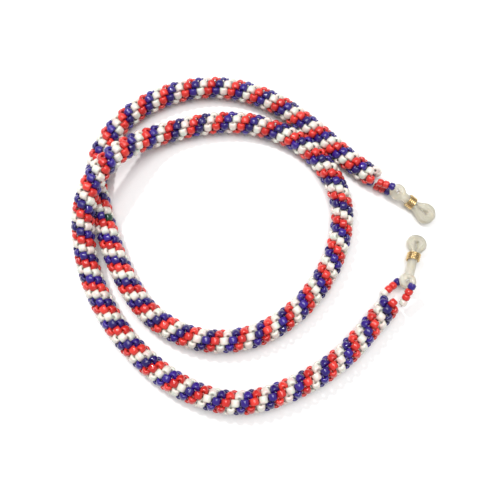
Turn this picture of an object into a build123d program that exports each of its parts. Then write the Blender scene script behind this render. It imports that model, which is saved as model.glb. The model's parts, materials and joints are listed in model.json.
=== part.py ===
from build123d import *
import os
from math import pi, radians, tan

# Eyeglass retainer strap: a hollow rope of seven columns of glass seed beads, and at each end a
# short bead chain that carries a clear rubber loop with a gold coil spring on its neck.
# Millimetres, +Z up. The strap lies on the plane z = 0, with its origin below the middle of its box.

# Beads and thread
BEAD_D = 3.0            # a seed bead across its hole
BEAD_LENGTH = 2.3       # and along its hole
BEAD_HOLE_D = 1.0
BEAD_EDGE = 0.75        # how far a bead's rim is rounded
BEAD_GAP = 0.05         # between beads threaded in a row
THREAD_D = 0.5
THREAD_BEND = 0.45

# Rope
ROPE_D = 8.8            # across seven columns of beads
ROPE_END_ROUND = 3.2    # the last rows draw in towards the thread
ROPE_END_FULLNESS = 0.98 # of that length, the part that its rim is rounded by
ROPE_Z = ROPE_D / 2     # height of the rope's middle where it lies flat
HUMP_Z = 15.0           # and where it climbs over its own first turn

# Rubber end
FOOT_D = 6.4            # round foot with the eyelet
FOOT_THICK = 2.6
EYELET_D = 1.6
NECK_D = 3.6            # the two legs together
LEG_SLIT = 0.2          # between the legs
LOOP_THICK = 3.2
LOOP_EDGE = 1.2
LOOP_SHOULDER = 0.4     # from the coil to where the loop begins to widen
OPENING_WIDTH = 1.0     # where a temple tip is pushed in
OPENING_THROAT = 0.4    # the opening's narrow end, beside the coil

# Coil spring
COIL_CLEARANCE = 0.1    # round the neck
COIL_WIRE = 0.7
COIL_GAP = 0.08         # between its turns
COIL_PITCH = COIL_WIRE + COIL_GAP
COIL_TURNS = 5

# Heights at the ends: the lower beads lie on the table, the rubber foot rests on the last of them,
# the upper beads come down to the foot's top, and the loop's tip lies on the table
TABLE_CLEARANCE = 0.1
REST_CLEARANCE = 0.3    # from the last lower bead to the foot on it
UPPER_CLEARANCE = 1.3   # from the foot to the last upper bead, which leans over its edge
LOWER_Z = BEAD_D / 2 + TABLE_CLEARANCE
EYELET_Z = BEAD_D + REST_CLEARANCE + FOOT_THICK / 2
UPPER_Z = EYELET_Z + FOOT_THICK / 2 + UPPER_CLEARANCE + BEAD_D / 2
TIP_Z = LOOP_THICK / 2 + TABLE_CLEARANCE
THREAD_OUT_Z = 2.3      # where the thread leaves the rope, above or below its middle

LIMP_RADII = 3          # a limp rope's tightest bend, in diameters

# The rope's way, from its first end to its second
ROUTE = [
    (48, 23, ROPE_Z), (39, 29, ROPE_Z), (24.5, 43.5, ROPE_Z), (7.5, 57, ROPE_Z), (-14, 63.5, ROPE_Z),
    (-36, 60, ROPE_Z), (-55, 48, ROPE_Z), (-65, 28, ROPE_Z), (-59.5, 6, ROPE_Z), (-52, -14, ROPE_Z),
    (-40, -32, ROPE_Z), (-20, -41.5, ROPE_Z), (2, -39, ROPE_Z), (20, -26, ROPE_Z), (32, -7, ROPE_Z),
    (35.3, 14.5, ROPE_Z), (24.2, 34, ROPE_Z), (4, 45.2, ROPE_Z), (-16, 48.2, ROPE_Z), (-40, 43, ROPE_Z),
    (-55, 29.5, HUMP_Z), (-65, 12, HUMP_Z), (-66.4, -9, ROPE_Z), (-59, -27.5, ROPE_Z), (-47, -44, ROPE_Z),
    (-29, -57, ROPE_Z), (-8, -64, ROPE_Z), (13, -59, ROPE_Z), (32, -48, ROPE_Z), (44, -34, ROPE_Z),
    (51.3, -26, ROPE_Z),
]

# Each end: the two legs of its bead chain from the rope to the eyelet, the middle of the eyelet,
# the tip of the rubber loop and its width, the beads on each leg, and the coil's distance from the
# eyelet. The second coil is pushed further along, so its loop is the smaller one
ENDS = {
    1: dict(lower=((47.2, 21.3, LOWER_Z + 0.1), (54.5, 17.9, LOWER_Z)),
            upper=((47.5, 21.1, ROPE_Z + THREAD_OUT_Z), (54.4, 17.8, UPPER_Z)),
            eyelet=(56.2, 17.4, EYELET_Z), tip=(70.4, 6.8, TIP_Z), width=8.2,
            beads=["red", "red", "blue"], coil=4.6),
    2: dict(lower=((47.9, -23.3, ROPE_Z - THREAD_OUT_Z + 0.3), (56.0, -16.9, LOWER_Z)),
            upper=((54.7, -27.6, ROPE_Z + 0.3), (58.5, -19.2, UPPER_Z + 0.7)),
            eyelet=(57.8, -18.0, EYELET_Z), tip=(64.2, 0.4, TIP_Z), width=7.6,
            beads=["white", "red", "red", "blue"], coil=8.3),
}


def route_radii(points):
    """An arc for each corner, as large as its two runs allow."""
    radii = []
    for before, here, after in zip(points, points[1:], points[2:]):
        run_in, run_out = Vector(here) - Vector(before), Vector(after) - Vector(here)
        half_turn = radians(run_in.get_angle(run_out)) / 2
        radii.append(0.45 * min(run_in.length, run_out.length) / tan(half_turn))
    return radii


def shortened(points, length):
    """The route without the last stretch at either end, which the rounded ends take."""
    first, second = Vector(points[0]), Vector(points[1])
    last, before = Vector(points[-1]), Vector(points[-2])
    start = first + (second - first).normalized() * length
    end = last + (before - last).normalized() * length
    return [start] + [Vector(p) for p in points[1:-1]] + [end]


def rounded_end(point, towards):
    """The rope's last rows, which close in round the thread."""
    outwards = (Vector(towards) - Vector(point)).normalized()
    plane = Plane(origin=Vector(point), z_dir=outwards)
    end = Cylinder(ROPE_D / 2, ROPE_END_ROUND, align=(Align.CENTER, Align.CENTER, Align.MIN))
    end = fillet(end.edges().filter_by(GeomType.CIRCLE).sort_by(Axis.Z)[-1], ROPE_END_ROUND * ROPE_END_FULLNESS)
    return plane.location * end


def rope():
    points = shortened(ROUTE, ROPE_END_ROUND)
    path = FilletPolyline(*points, radius=route_radii(points))
    section = Plane(origin=path @ 0, z_dir=path % 0) * Circle(ROPE_D / 2)
    tube = sweep(section, path=path)
    print(f"rope: {path.length + 2 * ROPE_END_ROUND:.1f} mm, tube volume over section times length "
          f"{tube.volume / (pi * ROPE_D**2 / 4 * path.length):.4f}")
    print("radii:", " ".join(f"{r:.0f}" for r in route_radii(ROUTE)), "least allowed", LIMP_RADII * ROPE_D)
    return tube + rounded_end(points[0], ROUTE[0]) + rounded_end(points[-1], ROUTE[-1])


def bead():
    """A seed bead with its hole along Z."""
    body = Cylinder(BEAD_D / 2, BEAD_LENGTH)
    body = fillet(body.edges().filter_by(GeomType.CIRCLE), BEAD_EDGE)
    return body - Cylinder(BEAD_HOLE_D / 2, BEAD_LENGTH)


def leg_beads(leg, count):
    """Beads threaded against each other on one leg, the last one at the eyelet's end."""
    root, hem = Vector(leg[0]), Vector(leg[1])
    direction = (hem - root).normalized()
    placed = []
    for i in range(count):
        back = (count - 1 - i) * (BEAD_LENGTH + BEAD_GAP) + BEAD_LENGTH / 2 + THREAD_BEND
        placed.append(Plane(origin=hem - direction * back, z_dir=direction).location * bead())
    return placed


def end_plane(end):
    """The rubber end's own frame: X from the eyelet to the tip, Z along the eyelet's hole."""
    along = (Vector(end["tip"]) - Vector(end["eyelet"])).normalized()
    side = Vector(0, 0, 1).cross(along).normalized()
    return Plane(origin=Vector(end["eyelet"]), x_dir=along, z_dir=along.cross(side))


def thread_loop(end):
    """Out of the rope, along the lower leg, up through the eyelet, and back along the upper leg."""
    plane = end_plane(end)
    reach = plane.z_dir * (FOOT_THICK / 2 + THREAD_D + 0.3)
    lower, upper = end["lower"], end["upper"]
    corners = [lower[0], lower[1], plane.origin - reach, plane.origin + reach, upper[1], upper[0]]
    path = FilletPolyline(*[Vector(c) for c in corners], radius=THREAD_BEND)
    section = Plane(origin=path @ 0, z_dir=path % 0) * Circle(THREAD_D / 2)
    return sweep(section, path=path)


def teardrop(x_small, r_small, x_large, r_large, thick):
    """A flat drop: two circles on the X axis and the straight sides that touch both."""
    small, large = Pos(x_small, 0) * Circle(r_small), Pos(x_large, 0) * Circle(r_large)
    return extrude(make_hull(small.edges() + large.edges()), thick / 2, both=True)


def rubber_end(end):
    length = (Vector(end["tip"]) - Vector(end["eyelet"])).length
    foot = Cylinder(FOOT_D / 2, FOOT_THICK)
    foot = fillet(foot.edges().filter_by(GeomType.CIRCLE), FOOT_THICK * 0.4)
    loop_start = end["coil"] + coil_length() + LOOP_SHOULDER
    neck = Rot(0, 90, 0) * Cylinder(NECK_D / 2, loop_start + LOOP_EDGE,
                                    align=(Align.CENTER, Align.CENTER, Align.MIN))
    neck -= Cylinder(FOOT_D / 2 - NECK_D / 4, NECK_D * 2)
    loop_r = end["width"] / 2
    loop = teardrop(loop_start + NECK_D / 2, NECK_D / 2, length - loop_r, loop_r, LOOP_THICK)
    loop = fillet(loop.faces().filter_by(Axis.Z).edges(), LOOP_EDGE)
    opening = teardrop(loop_start + LOOP_EDGE, OPENING_THROAT / 2, length - loop_r, OPENING_WIDTH / 2, NECK_D)
    slit = Pos(FOOT_D / 2, 0, 0) * Box(loop_start + LOOP_EDGE - FOOT_D / 2, LEG_SLIT, NECK_D * 2,
                                       align=(Align.MIN, Align.CENTER, Align.CENTER))
    body = foot + neck + loop - opening - slit - Cylinder(EYELET_D / 2, NECK_D * 2)
    return end_plane(end).location * body


def coil_length():
    return COIL_PITCH * (COIL_TURNS - 1) + COIL_WIRE


def coil(end):
    """The gold spring that holds the two legs together, closed by its own turns."""
    radius = NECK_D / 2 + COIL_CLEARANCE + COIL_WIRE / 2
    path = Helix(COIL_PITCH, COIL_PITCH * (COIL_TURNS - 1), radius)
    section = Plane(origin=path @ 0, z_dir=path % 0) * Circle(COIL_WIRE / 2)
    wire = sweep(section, path=path, is_frenet=True)
    seat = Pos(end["coil"] + COIL_WIRE / 2, 0, 0) * Rot(0, 90, 0)
    return end_plane(end).location * seat * wire


def build():
    nodes = {"seed_bead_rope": rope()}
    for number, end in ENDS.items():
        nodes[f"thread_loop_{number}"] = thread_loop(end)
        for leg in ("lower", "upper"):
            placed = leg_beads(end[leg], len(end["beads"]))
            for i, (piece, colour) in enumerate(zip(placed, end["beads"]), 1):
                nodes[f"chain_{number}_{leg}_{i}_{colour}_bead"] = piece
        nodes[f"rubber_end_{number}"] = rubber_end(end)
        nodes[f"gold_coil_{number}"] = coil(end)
    return nodes


os.makedirs("parts", exist_ok=True)
for name, shape in build().items():
    export_step(shape, f"parts/{name}.step")
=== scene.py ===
# %% [markdown]
# # A beaded eyeglass strap
# This strap hangs a pair of eyeglasses round the neck. Its rope is a tube of seven columns of glass
# seed beads, and a clear rubber loop with a gold coil at each end grips a temple of the eyeglasses.
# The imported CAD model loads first. It says where each piece sits and how it moves, and its coils and
# thread loops are kept. The other shapes are made here, in metres and in that model's frame, so
# nothing has to be fitted to it by hand.

# %% Load the frame
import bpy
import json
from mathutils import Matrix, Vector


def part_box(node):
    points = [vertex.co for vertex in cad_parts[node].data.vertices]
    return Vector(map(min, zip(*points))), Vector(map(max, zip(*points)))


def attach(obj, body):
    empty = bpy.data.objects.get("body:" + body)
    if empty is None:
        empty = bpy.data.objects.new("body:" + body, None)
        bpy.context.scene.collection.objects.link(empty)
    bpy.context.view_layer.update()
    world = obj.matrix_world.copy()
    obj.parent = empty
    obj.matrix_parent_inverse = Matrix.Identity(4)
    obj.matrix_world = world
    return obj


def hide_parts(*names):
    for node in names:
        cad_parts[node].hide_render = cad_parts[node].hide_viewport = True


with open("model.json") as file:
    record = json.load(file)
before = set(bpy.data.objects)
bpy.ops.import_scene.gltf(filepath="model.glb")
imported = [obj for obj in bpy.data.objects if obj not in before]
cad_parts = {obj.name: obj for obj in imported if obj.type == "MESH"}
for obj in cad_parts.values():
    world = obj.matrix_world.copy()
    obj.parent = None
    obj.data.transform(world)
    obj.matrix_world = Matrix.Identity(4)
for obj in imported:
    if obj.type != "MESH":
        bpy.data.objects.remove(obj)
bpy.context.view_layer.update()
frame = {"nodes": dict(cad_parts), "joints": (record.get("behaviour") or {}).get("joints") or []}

import json
import math
import bmesh
import bpy
import numpy as np
from mathutils import Matrix, Vector

MM = 0.001
scene = bpy.context.scene

# %% [markdown]
# ## The camera
# A catalogue picture of a small soft thing is usually taken from nearly straight above. This camera
# stands 21 cm from the strap and leans twelve degrees, so that the near side of the strap is a
# little larger than the far side.

# %% Camera
VIEW_DISTANCE = 210 * MM
VIEW_LEAN = math.radians(12)
LOOK_AT = Vector((-6, -1, 0)) * MM

camera_data = bpy.data.cameras.new("camera")
camera_data.sensor_width = 36
camera_data.lens = 39.8
camera_data.clip_start = 0.01
camera = bpy.data.objects.new("camera", camera_data)
camera.location = LOOK_AT + Vector((0, -math.sin(VIEW_LEAN), math.cos(VIEW_LEAN))) * VIEW_DISTANCE
camera.rotation_euler = (VIEW_LEAN, 0, 0)
scene.collection.objects.link(camera)
scene.camera = camera
print("camera at, mm:", [round(v / MM) for v in camera.location])

# %% [markdown]
# ## The rope's line
# A limp rope lies in long even curves. One NURBS spline is the natural way to draw that: a few
# points that pull the line towards them, and no corners anywhere. The rope makes one turn and a half,
# and climbs over its own first turn in a long low hump, which has two points at its top.

# %% Rope line
ROPE_D = 8.8 * MM
ROPE_Z = 4.4
HUMP_Z = 15.0
ROUTE = [
    (48, 23, ROPE_Z), (39, 29, ROPE_Z), (24.5, 43.5, ROPE_Z), (7.5, 57, ROPE_Z), (-14, 63.5, ROPE_Z),
    (-36, 60, ROPE_Z), (-55, 48, ROPE_Z), (-65, 28, ROPE_Z), (-59.5, 6, ROPE_Z), (-52, -14, ROPE_Z),
    (-40, -32, ROPE_Z), (-20, -41.5, ROPE_Z), (2, -39, ROPE_Z), (20, -26, ROPE_Z), (32, -7, ROPE_Z),
    (35.3, 14.5, ROPE_Z), (24.6, 34.4, ROPE_Z), (4.6, 45.8, ROPE_Z), (-16, 47.6, ROPE_Z),
    (-40, 41.5, ROPE_Z), (-55, 29.5, HUMP_Z), (-65, 12, HUMP_Z), (-65.8, -9, ROPE_Z),
    (-58.2, -27.2, ROPE_Z), (-46.3, -43.3, ROPE_Z), (-29, -57, ROPE_Z), (-8, -64, ROPE_Z),
    (13, -58.3, ROPE_Z), (31.6, -47.4, ROPE_Z), (44, -34, ROPE_Z), (51.3, -26, ROPE_Z),
]


def nurbs_line(name, points_mm):
    """A smooth open line that the points pull towards them, as a curve object."""
    data = bpy.data.curves.new(name, "CURVE")
    data.dimensions = "3D"
    spline = data.splines.new("NURBS")
    spline.points.add(len(points_mm) - 1)
    for point, place in zip(spline.points, points_mm):
        point.co = (*(Vector(place) * MM), 1)
    spline.order_u = 3
    spline.use_endpoint_u = True
    spline.resolution_u = 24
    line = bpy.data.objects.new(name, data)
    scene.collection.objects.link(line)
    return line


def points_along(line):
    """The points of a curve that has no bevel, in order."""
    mesh = bpy.data.meshes.new_from_object(line)
    points = np.array([v.co[:] for v in mesh.vertices])
    return mesh, points


rope_line = nurbs_line("rope_line", ROUTE)
rope_line_mesh, rope_path = points_along(rope_line)
steps = np.linalg.norm(np.diff(rope_path, axis=0), axis=1)
rope_length = steps.sum()
print(f"rope line: {len(rope_path)} points, {rope_length / MM:.1f} mm long")

# %% [markdown]
# ## A helper for node trees
# Every material and every modifier below is a tree of nodes. This one function adds a node, sets
# what it is told and joins its inputs, so that a tree reads from top to bottom like a recipe.

# %% Node helper
def add_node(tree, kind, links=None, **settings):
    """Adds a node. links maps an input's name or number to an output socket or to a plain value."""
    node = tree.nodes.new(kind)
    for name, value in settings.items():
        setattr(node, name, value)
    for key, value in (links or {}).items():
        if isinstance(value, bpy.types.NodeSocket):
            tree.links.new(value, node.inputs[key])
        else:
            node.inputs[key].default_value = value
    return node


def hex_colour(text):
    """A colour as it is written for a screen, turned to the linear values that light is added in."""
    channels = [int(text[i:i + 2], 16) / 255 for i in (1, 3, 5)]
    linear = [c / 12.92 if c <= 0.04045 else ((c + 0.055) / 1.055) ** 2.4 for c in channels]
    return (*linear, 1.0)


def new_material(name):
    """A material with only its output, and its tree."""
    material = bpy.data.materials.new(name)
    material.use_nodes = True
    material.node_tree.nodes.clear()
    return material, material.node_tree


def finish_material(tree, shader):
    add_node(tree, "ShaderNodeOutputMaterial", {"Surface": shader.outputs[0]})

# %% [markdown]
# ## Opaque glass for the beads
# A seed bead is cut from a drawn glass tube and tumbled hot until its edges melt round, so its
# surface is fire polished: glossy, with a highlight as sharp as a wet stone's. No two beads are quite
# the same colour, because the rods come from different melts. A random tone that goes with each bead
# gives that spread, and a fine noise gives the slight waviness of tumbled glass.

# %% Bead glass
TUMBLE_WAVES = 1.1 * MM


def bead_glass(name, deep, bright, roughness, coat=0.0, milky=0.0):
    """Fire-polished opaque glass, between two shades of one colour."""
    material, tree = new_material(name)
    place = add_node(tree, "ShaderNodeTexCoord").outputs["Object"]
    tone = add_node(tree, "ShaderNodeAttribute", attribute_name="tone").outputs["Fac"]
    shade = add_node(tree, "ShaderNodeValToRGB", {"Fac": tone})
    shade.color_ramp.elements[0].color = hex_colour(deep)
    shade.color_ramp.elements[1].color = hex_colour(bright)
    waves = add_node(tree, "ShaderNodeTexNoise", {"Vector": place, "Scale": 1 / TUMBLE_WAVES, "Detail": 1.0})
    bump = add_node(tree, "ShaderNodeBump", {"Height": waves.outputs["Fac"], "Strength": 0.12,
                                             "Distance": 0.1 * MM})
    shader = add_node(tree, "ShaderNodeBsdfPrincipled", {
        "Base Color": shade.outputs["Color"], "Roughness": roughness, "IOR": 1.52,
        "Normal": bump.outputs["Normal"], "Coat Weight": coat, "Coat Roughness": 0.04,
        "Subsurface Weight": milky, "Subsurface Radius": (0.8, 0.7, 0.6), "Subsurface Scale": 1.0 * MM})
    finish_material(tree, shader)
    return material


red_glass = bead_glass("opaque_red_glass_fire_polished", "#BE1E1A", "#E23A30", 0.13, coat=0.35)
blue_glass = bead_glass("cobalt_glass_fire_polished", "#1A0A58", "#321886", 0.09, coat=0.4)
green_glass = bead_glass("bottle_green_glass_fire_polished", "#0C2E20", "#16452F", 0.12, coat=0.5)
print("bead glasses:", red_glass.name, blue_glass.name, green_glass.name)

# %% [markdown]
# The white beads have a pearl lustre: a thin metal-oxide coat fired onto milky glass. It gives a soft
# white body with a faint pink and green cast that changes from bead to bead. Two noises mix those
# casts into the white, and the glass under them lets a little light through.

# %% Pearl glass
def pearl_glass():
    """Milky white glass with a fired lustre."""
    material, tree = new_material("milk_glass_pearl_lustre")
    place = add_node(tree, "ShaderNodeTexCoord").outputs["Object"]
    cast = add_node(tree, "ShaderNodeTexNoise", {"Vector": place, "Scale": 1 / (2.2 * MM), "Detail": 2.0})
    tint = add_node(tree, "ShaderNodeValToRGB", {"Fac": cast.outputs["Fac"]})
    ramp = tint.color_ramp
    ramp.elements[0].position, ramp.elements[0].color = 0.36, hex_colour("#DDC9C2")
    ramp.elements[1].position, ramp.elements[1].color = 0.66, hex_colour("#CFD6C8")
    ramp.elements.new(0.5).color = hex_colour("#E4DDD1")
    waves = add_node(tree, "ShaderNodeTexNoise", {"Vector": place, "Scale": 1 / TUMBLE_WAVES, "Detail": 1.0})
    bump = add_node(tree, "ShaderNodeBump", {"Height": waves.outputs["Fac"], "Strength": 0.12,
                                             "Distance": 0.1 * MM})
    shader = add_node(tree, "ShaderNodeBsdfPrincipled", {
        "Base Color": tint.outputs["Color"], "Roughness": 0.22, "IOR": 1.52, "Coat Weight": 0.6,
        "Coat Roughness": 0.08, "Subsurface Weight": 0.25, "Subsurface Radius": (0.9, 0.8, 0.7),
        "Subsurface Scale": 1.2 * MM, "Normal": bump.outputs["Normal"]})
    finish_material(tree, shader)
    return material


white_glass = pearl_glass()
GLASS = {"white": white_glass, "red": red_glass, "blue": blue_glass, "green": green_glass}

# %% [markdown]
# ## One bead
# A seed bead is a short piece of thick glass tube with melted edges. Six points of its section,
# turned round the hole, are enough: the rope repeats it over a thousand times, so each one has only
# a few dozen faces, and smooth shading rounds them.

# %% Bead mesh
BEAD_D = 3.0 * MM
BEAD_LENGTH = 2.3 * MM
ROPE_BEAD_D = 3.3 * MM
ROPE_BEAD_LENGTH = 2.8 * MM
BEAD_HOLE_D = 1.0 * MM
BEAD_AROUND = 11


def outward(mesh):
    """Turns all faces of a closed mesh outwards."""
    work = bmesh.new()
    work.from_mesh(mesh)
    bmesh.ops.recalc_face_normals(work, faces=work.faces)
    work.to_mesh(mesh)
    work.free()


def turned_mesh(name, section, around):
    """A closed section of (radius, height) turned round the Z axis."""
    vertices, faces = [], []
    count = len(section)
    for i in range(around):
        angle = 2 * math.pi * i / around
        vertices += [(r * math.cos(angle), r * math.sin(angle), z) for r, z in section]
        here, beside = i * count, (i + 1) % around * count
        for j in range(count):
            following = (j + 1) % count
            faces.append((here + j, here + following, beside + following, beside + j))
    mesh = bpy.data.meshes.new(name)
    mesh.from_pydata(vertices, [], faces)
    outward(mesh)
    mesh.shade_smooth()
    return mesh


def bead_section():
    """A bead's section, as distances from the hole's axis and along it."""
    outer, half, hole = ROPE_BEAD_D / 2, ROPE_BEAD_LENGTH / 2, BEAD_HOLE_D / 2
    upper = [(outer, 0.55 * half), (0.86 * outer, 0.92 * half), (1.25 * hole, half)]
    return upper + [(r, -z) for r, z in reversed(upper)]


seed_bead = bpy.data.objects.new("seed_bead", turned_mesh("seed_bead", bead_section(), BEAD_AROUND))
print("one bead:", len(seed_bead.data.polygons), "faces")

# %% [markdown]
# ## Where each bead sits
# In this stitch the beads climb the tube one after another. Each new bead sits two columns further
# round and one seventh of a bead higher, so after seven beads the next one stands straight on the
# first. With seven columns and three colours in turn, equal beads touch along a left-handed spiral.
# A thread is never pulled equally tight all the way, so the stripes stand between nine and eleven
# millimetres apart. The rope's beads are drawn a shade larger than the chain's, so that they lie
# against each other.

# %% Bead places
COLUMNS = 7
COLUMN_STEP = 2
COLOURS = ("blue", "red", "white")
PERIOD_BEADS = COLUMNS * len(COLOURS)
SPIRAL_TURNS = (-1, 0, 4, 9, 13, 17, 21, 27, 33, 39, 43, 48, 53, 57, 60, 61, 62)
SPIRAL_PLACES = (-3.0, 7.0, 45.6, 94.9, 134.4, 170.9, 208.4, 268.1, 331.8, 394.5, 436.1, 484.9, 532.4,
                 573.5, 606.2, 617.1, 627.1)
END_MARGIN = 0.4 * MM


def bead_places():
    """For each bead its distance along the rope in metres, its angle round it and its colour."""
    number = np.arange(SPIRAL_TURNS[0] * PERIOD_BEADS, SPIRAL_TURNS[-1] * PERIOD_BEADS)
    along = np.interp(number / PERIOD_BEADS, SPIRAL_TURNS, SPIRAL_PLACES) * MM
    in_rope = (along > END_MARGIN) & (along < rope_length - END_MARGIN)
    number, along = number[in_rope], along[in_rope]
    angle = number * COLUMN_STEP * 2 * math.pi / COLUMNS
    colour = number % len(COLOURS)
    return number, along, angle, colour


bead_number, bead_along, bead_angle, bead_colour = bead_places()
GREEN_BEAD = 16 * PERIOD_BEADS + 3
print(len(bead_number), "beads in the rope, from", round(bead_along[0] / MM, 1), "to",
      round(bead_along[-1] / MM, 1), "mm along it")

# %% [markdown]
# ## Finding a place on the rope
# Beads and thread both need the same question answered: where is the point that lies so far along
# the rope, at this angle round it and this far out? A node group answers it once for both. It looks
# up the rope's line, takes its tangent as forward and the part of straight up that is square to it as
# zero degrees, and steps outwards from the line.

# %% Tree inputs and vector helpers
def group_inputs(tree, sockets):
    """Named inputs of a node group, with their starting values. Returns each one's identifier."""
    identifiers = {}
    for name, (kind, value) in sockets.items():
        socket = tree.interface.new_socket(name, in_out="INPUT", socket_type=kind)
        if value is not None:
            socket.default_value = value
        identifiers[name] = socket.identifier
    return identifiers


def vector_maths(tree, operation, *inputs):
    node = add_node(tree, "ShaderNodeVectorMath", dict(enumerate(inputs)), operation=operation)
    return node.outputs["Value" if operation == "DOT_PRODUCT" else "Vector"]


def scaled(tree, vector, factor):
    node = add_node(tree, "ShaderNodeVectorMath", {0: vector, "Scale": factor}, operation="SCALE")
    return node.outputs["Vector"]


def maths(tree, operation, *inputs):
    return add_node(tree, "ShaderNodeMath", dict(enumerate(inputs)), operation=operation).outputs[0]


def attribute(tree, name, kind="FLOAT"):
    return add_node(tree, "GeometryNodeInputNamedAttribute", {"Name": name}, data_type=kind).outputs[0]

# %% The group that finds a place
place_group = bpy.data.node_groups.new("place_on_rope", "GeometryNodeTree")
group_inputs(place_group, {"Rope line": ("NodeSocketObject", None), "Along": ("NodeSocketFloat", 0.0),
                           "Angle": ("NodeSocketFloat", 0.0), "Out": ("NodeSocketFloat", 0.0),
                           "Round": ("NodeSocketFloat", 0.0)})
for name in ("Position", "Outwards", "Round the rope"):
    place_group.interface.new_socket(name, in_out="OUTPUT", socket_type="NodeSocketVector")

asked = add_node(place_group, "NodeGroupInput").outputs
line_shape = add_node(place_group, "GeometryNodeObjectInfo", {"Object": asked["Rope line"]})
line_curve = add_node(place_group, "GeometryNodeMeshToCurve", {"Mesh": line_shape.outputs["Geometry"]})
sample = add_node(place_group, "GeometryNodeSampleCurve",
                  {"Curves": line_curve.outputs["Curve"], "Length": asked["Along"]}, mode="LENGTH")
forward = sample.outputs["Tangent"]
along_part = scaled(place_group, forward, vector_maths(place_group, "DOT_PRODUCT", (0, 0, 1), forward))
up = vector_maths(place_group, "NORMALIZE", vector_maths(place_group, "SUBTRACT", (0, 0, 1), along_part))
right = vector_maths(place_group, "CROSS_PRODUCT", forward, up)
outwards = vector_maths(place_group, "ADD",
                        scaled(place_group, up, maths(place_group, "COSINE", asked["Angle"])),
                        scaled(place_group, right, maths(place_group, "SINE", asked["Angle"])))
round_rope = vector_maths(place_group, "CROSS_PRODUCT", forward, outwards)
beside = vector_maths(place_group, "ADD", scaled(place_group, outwards, asked["Out"]),
                      scaled(place_group, round_rope, asked["Round"]))
found = vector_maths(place_group, "ADD", sample.outputs["Position"], beside)
add_node(place_group, "NodeGroupOutput",
         {"Position": found, "Outwards": outwards, "Round the rope": round_rope})
print("place_on_rope:", len(place_group.nodes), "nodes")

# %% [markdown]
# ## Geometry Nodes string the beads
# The list of places is a cloud of points, one for each bead. The tree stands a bead on each of them
# with its hole running round the rope. Small random turns and sizes keep the beads as uneven as hand
# work, and a random tone goes with each one for its glass to read. One tree strings all the colours:
# a named input says which of them a modifier shows.

# %% Bead stringing tree
RING_RADIUS = ROPE_D / 2 - ROPE_BEAD_D / 2

bead_tree = bpy.data.node_groups.new("string_beads", "GeometryNodeTree")
bead_inputs = group_inputs(bead_tree, {
    "Places": ("NodeSocketGeometry", None),
    "Rope line": ("NodeSocketObject", None),
    "Bead": ("NodeSocketObject", None),
    "Glass": ("NodeSocketMaterial", None),
    "Colour number": ("NodeSocketInt", 0),
    "Ring radius": ("NodeSocketFloat", RING_RADIUS),
    "Unevenness": ("NodeSocketFloat", math.radians(6)),
    "Size spread": ("NodeSocketFloat", 0.03),
    "Seed": ("NodeSocketInt", 7),
})
bead_tree.interface.new_socket("Geometry", in_out="OUTPUT", socket_type="NodeSocketGeometry")

given = add_node(bead_tree, "NodeGroupInput").outputs
finder = add_node(bead_tree, "GeometryNodeGroup", node_tree=place_group)
for name, value in (("Rope line", given["Rope line"]), ("Along", attribute(bead_tree, "along")),
                    ("Angle", attribute(bead_tree, "angle")), ("Out", given["Ring radius"])):
    bead_tree.links.new(value, finder.inputs[name])
moved = add_node(bead_tree, "GeometryNodeSetPosition",
                 {"Geometry": given["Places"], "Position": finder.outputs["Position"]})
points = add_node(bead_tree, "GeometryNodeMeshToPoints", {"Mesh": moved.outputs["Geometry"]})

# %% Bead stringing: how each bead is turned
facing = add_node(bead_tree, "FunctionNodeAxesToRotation",
                  {0: finder.outputs["Round the rope"], 1: finder.outputs["Outwards"]},
                  primary_axis="Z", secondary_axis="X")
spread = scaled(bead_tree, (1, 1, 1), given["Unevenness"])
tilt = add_node(bead_tree, "FunctionNodeRandomValue",
                {0: scaled(bead_tree, spread, -1.0), 1: spread, "Seed": given["Seed"]},
                data_type="FLOAT_VECTOR")
tilt_turn = add_node(bead_tree, "FunctionNodeEulerToRotation", {0: tilt.outputs[0]})
turned = add_node(bead_tree, "FunctionNodeRotateRotation",
                  {0: facing.outputs[0], 1: tilt_turn.outputs[0]}, rotation_space="LOCAL")
size = add_node(bead_tree, "FunctionNodeRandomValue",
                {2: maths(bead_tree, "SUBTRACT", 1.0, given["Size spread"]),
                 3: maths(bead_tree, "ADD", 1.0, given["Size spread"]), "Seed": given["Seed"]},
                data_type="FLOAT")

# %% Bead stringing: the beads on their places
is_colour = add_node(bead_tree, "FunctionNodeCompare", {2: attribute(bead_tree, "colour", "INT"),
                     3: given["Colour number"]}, data_type="INT", operation="EQUAL")
bead_shape = add_node(bead_tree, "GeometryNodeObjectInfo", {"Object": given["Bead"]}).outputs["Geometry"]
strung = add_node(bead_tree, "GeometryNodeInstanceOnPoints", {
    "Points": points.outputs["Points"], "Selection": is_colour.outputs[0], "Instance": bead_shape,
    "Rotation": turned.outputs[0], "Scale": size.outputs[1]})
tone = add_node(bead_tree, "FunctionNodeRandomValue", {2: 0.0, 3: 1.0, "Seed": given["Seed"]},
                data_type="FLOAT")
toned = add_node(bead_tree, "GeometryNodeStoreNamedAttribute", {
    "Geometry": strung.outputs["Instances"], "Name": "tone", "Value": tone.outputs[1]},
    data_type="FLOAT", domain="INSTANCE")
real = add_node(bead_tree, "GeometryNodeRealizeInstances", {"Geometry": toned.outputs["Geometry"]})
glazed = add_node(bead_tree, "GeometryNodeSetMaterial",
                  {"Geometry": real.outputs["Geometry"], "Material": given["Glass"]})
add_node(bead_tree, "NodeGroupOutput", {"Geometry": glazed.outputs["Geometry"]})
print("string_beads:", len(bead_tree.nodes), "nodes")

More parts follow.
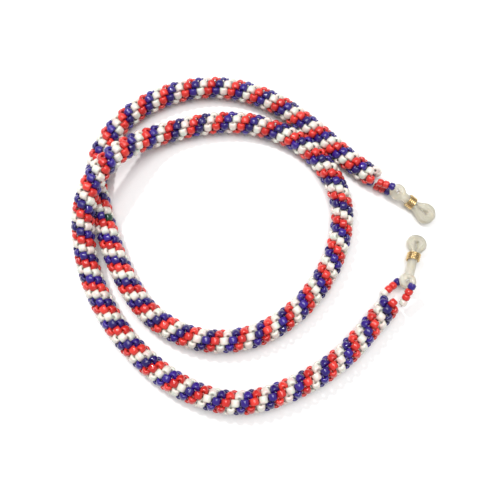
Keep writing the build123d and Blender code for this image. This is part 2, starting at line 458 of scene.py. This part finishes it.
# %% String each colour
def mesh_from_tree(name, start, tree, identifiers, values):
    """Runs a node tree once on a start mesh and keeps the plain mesh that it makes."""
    maker = bpy.data.objects.new(name + "_maker", start)
    scene.collection.objects.link(maker)
    modifier = maker.modifiers.new("make", "NODES")
    modifier.node_group = tree
    for key, value in values.items():
        modifier[identifiers[key]] = value
    maker.update_tag()
    mesh = bpy.data.meshes.new_from_object(maker.evaluated_get(bpy.context.evaluated_depsgraph_get()))
    bpy.data.objects.remove(maker)
    mesh.name = name
    return mesh


def add_piece(name, mesh):
    piece = bpy.data.objects.new(name, mesh)
    scene.collection.objects.link(piece)
    return piece


def places_mesh(name, values, joined=False):
    """Loose points, or points joined in a line, that carry a number of each kind in values."""
    count = len(values["along"])
    mesh = bpy.data.meshes.new(name)
    mesh.from_pydata([(0, 0, 0)] * count, [(i, i + 1) for i in range(count - 1)] if joined else [], [])
    for key, numbers in values.items():
        kind = "INT" if key == "colour" else "FLOAT"
        mesh.attributes.new(key, kind, "POINT").data.foreach_set("value", numbers)
    return mesh


colour_number = np.where(bead_number == GREEN_BEAD, len(COLOURS), bead_colour)
bead_places_mesh = places_mesh("bead_places", {"along": bead_along, "angle": bead_angle,
                                               "colour": colour_number})
line_holder = bpy.data.objects.new("rope_line_mesh", rope_line_mesh)
rope_beads = {}
for number, colour in enumerate(COLOURS + ("green",)):
    mesh = mesh_from_tree(f"{colour}_rope_beads", bead_places_mesh, bead_tree, bead_inputs, {
        "Rope line": line_holder, "Bead": seed_bead, "Glass": GLASS[colour], "Colour number": number})
    mesh.shade_smooth()
    rope_beads[colour] = add_piece(f"{colour}_rope_beads", mesh)
    print(colour, "beads:", len(mesh.polygons) // len(seed_bead.data.polygons))

# %% [markdown]
# ## The thread that holds the rope
# The stitch is tubular peyote. The needle picks up a new bead, goes through the bead that stands up
# in the next column, picks up another, and so winds on upwards for good: new bead, standing bead,
# new bead. So the thread's path is known from the beads' numbers alone. It lies straight in each
# hole and steps along the seam to the next one. The same node group finds its corners, and a thin
# tube follows them.

# %% Thread path
THREAD_IN_ROPE_D = 0.15 * MM
THREAD_RADIUS = RING_RADIUS - 0.4 * MM
HOLE_MOUTH = ROPE_BEAD_LENGTH / 2
STANDING_BEAD = 3


def thread_corners():
    """Where the thread enters and leaves each bead on its way, as numbers for the place finder."""
    along, angle, beside = [], [], []
    for i in range(STANDING_BEAD, len(bead_number)):
        for bead in (i, i - STANDING_BEAD):
            for side in (-1, 1):
                along.append(bead_along[bead])
                angle.append(bead_angle[bead])
                beside.append(side * HOLE_MOUTH)
    return {"along": along, "angle": angle, "beside": beside}


thread_tree = bpy.data.node_groups.new("run_thread", "GeometryNodeTree")
thread_inputs = group_inputs(thread_tree, {
    "Corners": ("NodeSocketGeometry", None),
    "Rope line": ("NodeSocketObject", None),
    "Thread": ("NodeSocketMaterial", None),
    "Ring radius": ("NodeSocketFloat", THREAD_RADIUS),
    "Thickness": ("NodeSocketFloat", THREAD_IN_ROPE_D),
})
thread_tree.interface.new_socket("Geometry", in_out="OUTPUT", socket_type="NodeSocketGeometry")

given = add_node(thread_tree, "NodeGroupInput").outputs
finder = add_node(thread_tree, "GeometryNodeGroup", node_tree=place_group)
for name, value in (("Rope line", given["Rope line"]), ("Along", attribute(thread_tree, "along")),
                    ("Angle", attribute(thread_tree, "angle")), ("Out", given["Ring radius"]),
                    ("Round", attribute(thread_tree, "beside"))):
    thread_tree.links.new(value, finder.inputs[name])
moved = add_node(thread_tree, "GeometryNodeSetPosition",
                 {"Geometry": given["Corners"], "Position": finder.outputs["Position"]})
run = add_node(thread_tree, "GeometryNodeMeshToCurve", {"Mesh": moved.outputs["Geometry"]})
outline = add_node(thread_tree, "GeometryNodeCurvePrimitiveCircle",
                   {"Resolution": 4, "Radius": maths(thread_tree, "DIVIDE", given["Thickness"], 2.0)})
tube = add_node(thread_tree, "GeometryNodeCurveToMesh", {
    "Curve": run.outputs["Curve"], "Profile Curve": outline.outputs["Curve"], "Fill Caps": True})
real = add_node(thread_tree, "GeometryNodeRealizeInstances", {"Geometry": tube.outputs["Mesh"]})
dyed = add_node(thread_tree, "GeometryNodeSetMaterial",
                {"Geometry": real.outputs["Geometry"], "Material": given["Thread"]})
add_node(thread_tree, "NodeGroupOutput", {"Geometry": dyed.outputs["Geometry"]})

# %% [markdown]
# Beading thread is twisted from many nylon filaments and waxed. From a hand's width away it is a
# matt off-white line with a slant to it. Bands across the slant draw the twist. They are half a
# millimetre apart, coarser than the real ones, so that they show at all.

# %% Thread material
TWIST_PITCH = 0.5 * MM


def thread_material():
    material, tree = new_material("nylon_beading_thread_waxed")
    place = add_node(tree, "ShaderNodeTexCoord").outputs["Object"]
    twist = add_node(tree, "ShaderNodeTexWave", {"Vector": place, "Scale": 0.314 / TWIST_PITCH,
                     "Distortion": 0.6}, wave_type="BANDS", bands_direction="DIAGONAL")
    shade = add_node(tree, "ShaderNodeValToRGB", {"Fac": twist.outputs["Fac"]})
    shade.color_ramp.elements[0].color = hex_colour("#BDB6A8")
    shade.color_ramp.elements[1].color = hex_colour("#E9E4DA")
    bump = add_node(tree, "ShaderNodeBump", {"Height": twist.outputs["Fac"], "Strength": 0.5,
                                             "Distance": 0.05 * MM})
    shader = add_node(tree, "ShaderNodeBsdfPrincipled", {
        "Base Color": shade.outputs["Color"], "Roughness": 0.6, "Sheen Weight": 0.3,
        "Normal": bump.outputs["Normal"]})
    finish_material(tree, shader)
    return material


thread_nylon = thread_material()
corners = thread_corners()
thread_mesh = mesh_from_tree("rope_thread", places_mesh("thread_corners", corners, joined=True),
                             thread_tree, thread_inputs,
                             {"Rope line": line_holder, "Thread": thread_nylon})
rope_thread = add_piece("rope_thread", thread_mesh)
print("rope thread:", len(corners["along"]), "corners,", len(thread_mesh.polygons), "faces")

# %% [markdown]
# ## The chain beads
# At each end of the rope the thread leaves in two legs with a few single beads on each. They are
# close to the eye and there are only fourteen, so they get a rounder section than the rope's beads.
# The CAD model says where each one sits: a bead's centre is the middle of its box, and the line
# through a leg's first and last centres is the direction of its holes.

# %% Rounder bead
BEAD_EDGE = 0.75 * MM
BEAD_LIP = 0.25 * MM
FINE_SECTION_STEPS = 5
FINE_AROUND = 28


def fine_bead_section():
    """A bead's section with melted edges, as distances from the axis and along it."""
    edge, half, hole, lip = BEAD_EDGE, BEAD_LENGTH / 2, BEAD_HOLE_D / 2, BEAD_LIP
    upper = []
    for i in range(FINE_SECTION_STEPS + 1):
        turn = math.radians(90) * i / FINE_SECTION_STEPS
        upper.append((BEAD_D / 2 - edge + edge * math.cos(turn), half - edge + edge * math.sin(turn)))
    for i in range(FINE_SECTION_STEPS):
        turn = math.radians(90) * i / (FINE_SECTION_STEPS - 1)
        upper.append((hole + lip - lip * math.sin(turn), half - lip + lip * math.cos(turn)))
    return upper + [(r, -z) for r, z in reversed(upper)]


fine_bead = turned_mesh("fine_bead", fine_bead_section(), FINE_AROUND)
print("one chain bead:", len(fine_bead.polygons), "faces")

# %% Chain beads
def node_centre(node):
    low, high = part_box(node)
    return (low + high) / 2


def chain_nodes(end):
    """The chain's bead nodes by leg, in order from the rope to the rubber."""
    legs = {}
    for node in sorted(frame["nodes"]):
        words = node.split("_")
        if words[:2] == ["chain", str(end)]:
            legs.setdefault(words[2], []).append(node)
    return legs


CHAIN_SEED = 11
chain_random = np.random.default_rng(CHAIN_SEED)
chain_pieces = []
for end in (1, 2):
    by_colour = {}
    for nodes in chain_nodes(end).values():
        direction = (node_centre(nodes[-1]) - node_centre(nodes[0])).normalized()
        for node in nodes:
            colour = node.split("_")[-2]
            spin = Matrix.Rotation(chain_random.uniform(0, 2 * math.pi), 4, "Z")
            along_leg = direction.to_track_quat("Z", "Y").to_matrix().to_4x4()
            place = Matrix.Translation(node_centre(node)) @ along_leg
            by_colour.setdefault(colour, []).append((node, place @ spin, chain_random.uniform(0.2, 0.8)))
    for colour, beads in by_colour.items():
        work = bmesh.new()
        tones = []
        for node, place, tone_value in beads:
            one = fine_bead.copy()
            one.transform(place)
            work.from_mesh(one)
            tones += [tone_value] * len(one.vertices)
            bpy.data.meshes.remove(one)
        mesh = bpy.data.meshes.new(f"chain_{end}_{colour}_beads")
        work.to_mesh(mesh)
        work.free()
        mesh.attributes.new("tone", "FLOAT", "POINT").data.foreach_set("value", tones)
        mesh.materials.append(GLASS[colour])
        mesh.shade_smooth()
        piece = add_piece(mesh.name, mesh)
        chain_pieces.append((piece, end, colour, [node for node, place, tone_value in beads]))
        print(piece.name, "stands for", len(beads), "nodes")

# %% [markdown]
# ## The rubber ends
# A rubber end is moulded in one piece from clear silicone: a ring foot that the thread goes through,
# two legs side by side, and a round loop. It is one soft strip bent back on itself, so it is swept as
# one: a section of changing width and height that runs out along one leg, round the loop and back.
# The sweep and the foot then melt together in a voxel remesh, which gives the soft inner corners
# that a mould has. Everything is first drawn in millimetres in the end's own frame, with X from the
# eyelet to the tip and Z along the eyelet, and then placed by the CAD joints that have the same axes.

# %% Rubber end sizes
FOOT_D = 6.4
FOOT_THICK = 2.6
EYELET_D = 1.6
NECK_D = 3.6
LEG_SLIT = 0.2
LOOP_THICK = 3.2
OPENING_R = 0.5
THROAT_R = 0.2
COIL_LENGTH = 3.82
SHOULDER = 0.4
LOOP_EDGE = 1.2
RUBBER_ENDS = {
    1: {"length": 17.96, "width": 8.2, "coil": 4.6},
    2: {"length": 19.70, "width": 7.6, "coil": 8.3},
}
joints = {joint["name"]: joint for joint in frame["joints"]}
for end, sizes in RUBBER_ENDS.items():
    eyelet = Vector(joints[f"rubber_swivel_{end}"]["pos_m"])
    hole = Vector(joints[f"rubber_swivel_{end}"]["axis"]).normalized()
    along = -Vector(joints[f"coil_slide_{end}"]["axis"]).normalized()
    side = hole.cross(along)
    sizes["place"] = Matrix.Translation(eyelet) @ Matrix((along, side, hole)).transposed().to_4x4()
    print("end", end, "eyelet at, mm:", [round(v / MM, 1) for v in eyelet])

# %% [markdown]
# The strip's outer and inner edges are both drops: a circle at the tip, and from it straight lines
# that run together at the throat. A section of the strip reaches from a point of the
# inner drop to the matching point of the outer one, and is a rounded oblong, flat enough on top to
# look moulded.

# %% Strip sections
ARC_STEPS = 22
STRAIGHT_STEPS = 8
SECTION_POINTS = 24
SLACK_IN_COIL = 0.02
LEG_RADIUS = NECK_D / 2 - SLACK_IN_COIL
LEG_STATIONS = (0.08, 0.3, 0.5, 0.75, 1.0)
SECTION_TURNS = [2 * math.pi * k / SECTION_POINTS for k in range(SECTION_POINTS)]
SQUARENESS = 0.8


def rounded_oblong():
    """Points round an oblong with round corners, between -1 and 1 both ways."""
    def flattened(value):
        return math.copysign(abs(value) ** SQUARENESS, value)
    return [(flattened(math.cos(turn)), flattened(math.sin(turn))) for turn in SECTION_TURNS]


def half_drop(throat, large_x, large_r):
    """The upper half of a drop's outline, from the tip round the circle and straight to the throat."""
    from_centre = Vector(throat) - Vector((large_x, 0))
    touch = math.atan2(from_centre.y, from_centre.x) - math.acos(large_r / from_centre.length)
    outline = []
    for i in range(ARC_STEPS + 1):
        turn = touch * i / ARC_STEPS
        outline.append(Vector((large_x + large_r * math.cos(turn), large_r * math.sin(turn), 0)))
    tangent = outline[-1]
    for i in range(1, STRAIGHT_STEPS + 1):
        outline.append(tangent.lerp(Vector((*throat, 0)), i / STRAIGHT_STEPS))
    return outline


def strip_rings(sizes):
    """Rings of points along half of the strip, from the tip to the foot."""
    loop_start = sizes["coil"] + COIL_LENGTH + SHOULDER
    loop_r = sizes["width"] / 2
    large_x = sizes["length"] - loop_r
    outer = half_drop((loop_start, LEG_RADIUS), large_x, loop_r)
    inner = half_drop((loop_start + LOOP_EDGE, THROAT_R), large_x, OPENING_R)
    rings = []
    for inner_point, outer_point in zip(inner, outer):
        middle, reach = (inner_point + outer_point) / 2, (outer_point - inner_point) / 2
        rings.append([middle + reach * across + Vector((0, 0, LOOP_THICK / 2 * above))
                      for across, above in rounded_oblong()])
    for part in LEG_STATIONS:
        x = loop_start * (1 - part) + FOOT_D / 3 * part
        rings.append([Vector((x, max(LEG_SLIT / 2, LEG_RADIUS * math.cos(turn)), LEG_RADIUS * math.sin(turn)))
                      for turn in SECTION_TURNS])
    return rings


def strip_mesh(sizes):
    """The whole strip in millimetres: the half, and its mirror image, joined at the tip."""
    half = strip_rings(sizes)
    flip = Vector((1, -1, 1))
    whole = [[point * flip for point in ring] for ring in reversed(half[1:])] + half
    vertices = [point for ring in whole for point in ring]
    faces = []
    for s in range(len(whole) - 1):
        for k in range(SECTION_POINTS):
            a, b = s * SECTION_POINTS + k, s * SECTION_POINTS + (k + 1) % SECTION_POINTS
            faces.append((a, b, b + SECTION_POINTS, a + SECTION_POINTS))
    last = (len(whole) - 1) * SECTION_POINTS
    faces.append(tuple(range(SECTION_POINTS)))
    faces.append(tuple(range(last + SECTION_POINTS - 1, last - 1, -1)))
    mesh = bpy.data.meshes.new("strip")
    mesh.from_pydata(vertices, [], faces)
    outward(mesh)
    return mesh

# %% Foot, melting together and smoothing
REMESH_MM = 0.14
SMOOTH_STEPS = 6
FOOT_AROUND = 48


def foot_section():
    """The foot's section: a rounded oblong between the eyelet and the outer edge."""
    middle, reach, height = (FOOT_D + EYELET_D) / 4, (FOOT_D - EYELET_D) / 4, FOOT_THICK / 2
    return [(middle + reach * across, height * above) for across, above in rounded_oblong()]


def with_modifiers(mesh, *modifiers):
    """A mesh after modifiers, each given as (kind, settings)."""
    maker = bpy.data.objects.new("maker", mesh)
    scene.collection.objects.link(maker)
    for kind, settings in modifiers:
        modifier = maker.modifiers.new(kind.lower(), kind)
        for name, value in settings.items():
            setattr(modifier, name, value)
    result = bpy.data.meshes.new_from_object(maker.evaluated_get(bpy.context.evaluated_depsgraph_get()))
    bpy.data.objects.remove(maker)
    return result


def rubber_mesh(end, sizes):
    work = bmesh.new()
    work.from_mesh(strip_mesh(sizes))
    work.from_mesh(turned_mesh("foot", foot_section(), FOOT_AROUND))
    joined = bpy.data.meshes.new("joined")
    work.to_mesh(joined)
    work.free()
    mesh = with_modifiers(joined, ("REMESH", {"mode": "VOXEL", "voxel_size": REMESH_MM}),
                          ("SMOOTH", {"factor": 0.5, "iterations": SMOOTH_STEPS}))
    centre = Vector((sizes["length"] - sizes["width"] / 2, 0))
    ring = [(Vector(v.co[:2]) - centre).length for v in mesh.vertices]
    mesh.attributes.new("from_loop_centre", "FLOAT", "POINT").data.foreach_set("value", ring)
    mesh.transform(sizes["place"] @ Matrix.Scale(MM, 4))
    mesh.name = f"silicone_end_{end}"
    mesh.shade_smooth()
    return mesh

# %% [markdown]
# Clear silicone is never quite clear. It is milky and a little yellow, with a satin skin copied from
# the mould, so light goes in, scatters and comes out again soft. The shader mixes refraction with
# scattering under the surface. Faint rings round the loop are where the rubber flowed in the mould.
# They read a distance that is stored on the mesh, so they follow the loop wherever it lies.

# %% Silicone
FLOW_RING_PITCH_MM = 0.8


def silicone_material():
    material, tree = new_material("clear_silicone_moulded")
    place = add_node(tree, "ShaderNodeTexCoord").outputs["Object"]
    cloud = add_node(tree, "ShaderNodeTexNoise", {"Vector": place, "Scale": 1 / (3 * MM), "Detail": 2.0})
    ring = add_node(tree, "ShaderNodeAttribute", attribute_name="from_loop_centre").outputs["Fac"]
    turns = add_node(tree, "ShaderNodeMath", {0: ring, 1: 2 * math.pi / FLOW_RING_PITCH_MM},
                     operation="MULTIPLY")
    wave = add_node(tree, "ShaderNodeMath", {0: turns.outputs[0]}, operation="SINE")
    near = add_node(tree, "ShaderNodeMapRange", {"Value": ring, "From Min": 3.2, "From Max": 5.0,
                                                 "To Min": 1.0, "To Max": 0.0})
    rings = add_node(tree, "ShaderNodeMath", {0: wave.outputs[0], 1: near.outputs[0]},
                     operation="MULTIPLY")
    tint = add_node(tree, "ShaderNodeValToRGB", {"Fac": cloud.outputs["Fac"]})
    tint.color_ramp.elements[0].position, tint.color_ramp.elements[1].position = 0.3, 0.7
    tint.color_ramp.elements[0].color = hex_colour("#E4DFCF")
    tint.color_ramp.elements[1].color = hex_colour("#EFEBDD")
    bump = add_node(tree, "ShaderNodeBump", {"Height": rings.outputs[0], "Strength": 0.5,
                                             "Distance": 0.12 * MM})
    shader = add_node(tree, "ShaderNodeBsdfPrincipled", {
        "Base Color": tint.outputs["Color"], "Roughness": 0.32, "IOR": 1.41, "Transmission Weight": 0.62,
        "Subsurface Weight": 0.8, "Subsurface Radius": (1.0, 0.9, 0.7), "Subsurface Scale": 2.0 * MM,
        "Normal": bump.outputs["Normal"]})
    finish_material(tree, shader)
    return material


silicone = silicone_material()
rubber_pieces = {}
for end, sizes in RUBBER_ENDS.items():
    mesh = rubber_mesh(end, sizes)
    mesh.materials.clear()
    mesh.materials.append(silicone)
    rubber_pieces[end] = add_piece(mesh.name, mesh)
    low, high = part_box(f"rubber_end_{end}")
    points = np.array([v.co[:] for v in mesh.vertices])
    print("rubber end", end, "mesh, mm:", (points.min(0) / MM).round(1), (points.max(0) / MM).round(1),
          "CAD:", [round(v / MM, 1) for v in (*low, *high)], len(mesh.polygons), "faces")

# %% [markdown]
# ## The gold coils
# The coil is spring wire, plated gold and polished. The CAD coils already have the right wire and
# turns, so they stay and only get their metal. Drawn wire keeps fine lines along it, and handling
# dulls the plating in patches, so the roughness varies a little.

# %% Gold plate
def gold_material():
    material, tree = new_material("gold_plated_spring_wire_polished")
    place = add_node(tree, "ShaderNodeTexCoord").outputs["Object"]
    wear = add_node(tree, "ShaderNodeTexNoise", {"Vector": place, "Scale": 1 / (1.5 * MM), "Detail": 3.0})
    gloss = add_node(tree, "ShaderNodeMapRange", {"Value": wear.outputs["Fac"], "To Min": 0.14,
                                                  "To Max": 0.30})
    shade = add_node(tree, "ShaderNodeValToRGB", {"Fac": wear.outputs["Fac"]})
    shade.color_ramp.elements[0].color = hex_colour("#C9A566")
    shade.color_ramp.elements[1].color = hex_colour("#E9D3A4")
    bump = add_node(tree, "ShaderNodeBump", {"Height": wear.outputs["Fac"], "Strength": 0.1,
                                             "Distance": 0.02 * MM})
    shader = add_node(tree, "ShaderNodeBsdfPrincipled", {
        "Base Color": shade.outputs["Color"], "Metallic": 1.0, "Roughness": gloss.outputs["Result"],
        "Normal": bump.outputs["Normal"]})
    finish_material(tree, shader)
    return material


def set_material(node, material):
    """Gives a CAD node one material."""
    slots = frame["nodes"][node].material_slots
    if not slots:
        frame["nodes"][node].data.materials.append(material)
    for slot in slots:
        slot.material = material


gold_plate = gold_material()
for end in RUBBER_ENDS:
    set_material(f"gold_coil_{end}", gold_plate)
    set_material(f"thread_loop_{end}", thread_nylon)

# %% [markdown]
# ## Table and light
# The strap lies on a plain pale table. A large soft box overhead gives an even light with soft
# shadows, and a smaller one at the back left puts the small bright highlight on each bead that
# tells the eye it is glass.

# %% Table
table_material, tree = new_material("matt_white_laminate")
place = add_node(tree, "ShaderNodeTexCoord").outputs["Object"]
grain = add_node(tree, "ShaderNodeTexNoise", {"Vector": place, "Scale": 1 / (4 * MM), "Detail": 3.0})
shade = add_node(tree, "ShaderNodeValToRGB", {"Fac": grain.outputs["Fac"]})
shade.color_ramp.elements[0].color = hex_colour("#F4F3F1")
shade.color_ramp.elements[1].color = hex_colour("#F8F7F6")
finish_material(tree, add_node(tree, "ShaderNodeBsdfPrincipled", {"Base Color": shade.outputs["Color"],
                                                                  "Roughness": 0.7}))
bpy.ops.mesh.primitive_plane_add(size=3)
table_top = bpy.context.object
table_top.name = "table_top"
table_top.data.materials.append(table_material)

# %% Lights
def area_light(name, place_mm, size_mm, watts, colour="#FFFFFF"):
    """A square soft box that points at the strap."""
    data = bpy.data.lights.new(name, "AREA")
    data.size = size_mm * MM
    data.energy = watts
    data.color = hex_colour(colour)[:3]
    light = bpy.data.objects.new(name, data)
    light.location = Vector(place_mm) * MM
    light.rotation_euler = (-light.location).to_track_quat("-Z", "Y").to_euler()
    scene.collection.objects.link(light)


area_light("overhead_soft_box", (40, 90, 600), 420, 2.75)
area_light("highlight_box", (-220, 240, 420), 36, 1.3)
world = bpy.data.worlds.new("studio")
world.use_nodes = True
world.node_tree.nodes["Background"].inputs["Color"].default_value = hex_colour("#F2F4F7")
world.node_tree.nodes["Background"].inputs["Strength"].default_value = 0.5
scene.world = world
scene.view_settings.view_transform = "Standard"

# %% [markdown]
# ## What rides on what
# Each piece rides on the CAD body that it moves with, and the CAD nodes that it stands for are hidden.

# %% Bodies and hidden nodes
for piece in rope_beads.values():
    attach(piece, "rope")
    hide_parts("seed_bead_rope")
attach(rope_thread, "rope")
for piece, end, colour, nodes in chain_pieces:
    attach(piece, f"bead_chain_{end}")
    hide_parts(*nodes)
for end, piece in rubber_pieces.items():
    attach(piece, f"rubber_end_{end}")
    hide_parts(f"rubber_end_{end}")
bpy.data.objects.remove(rope_line)
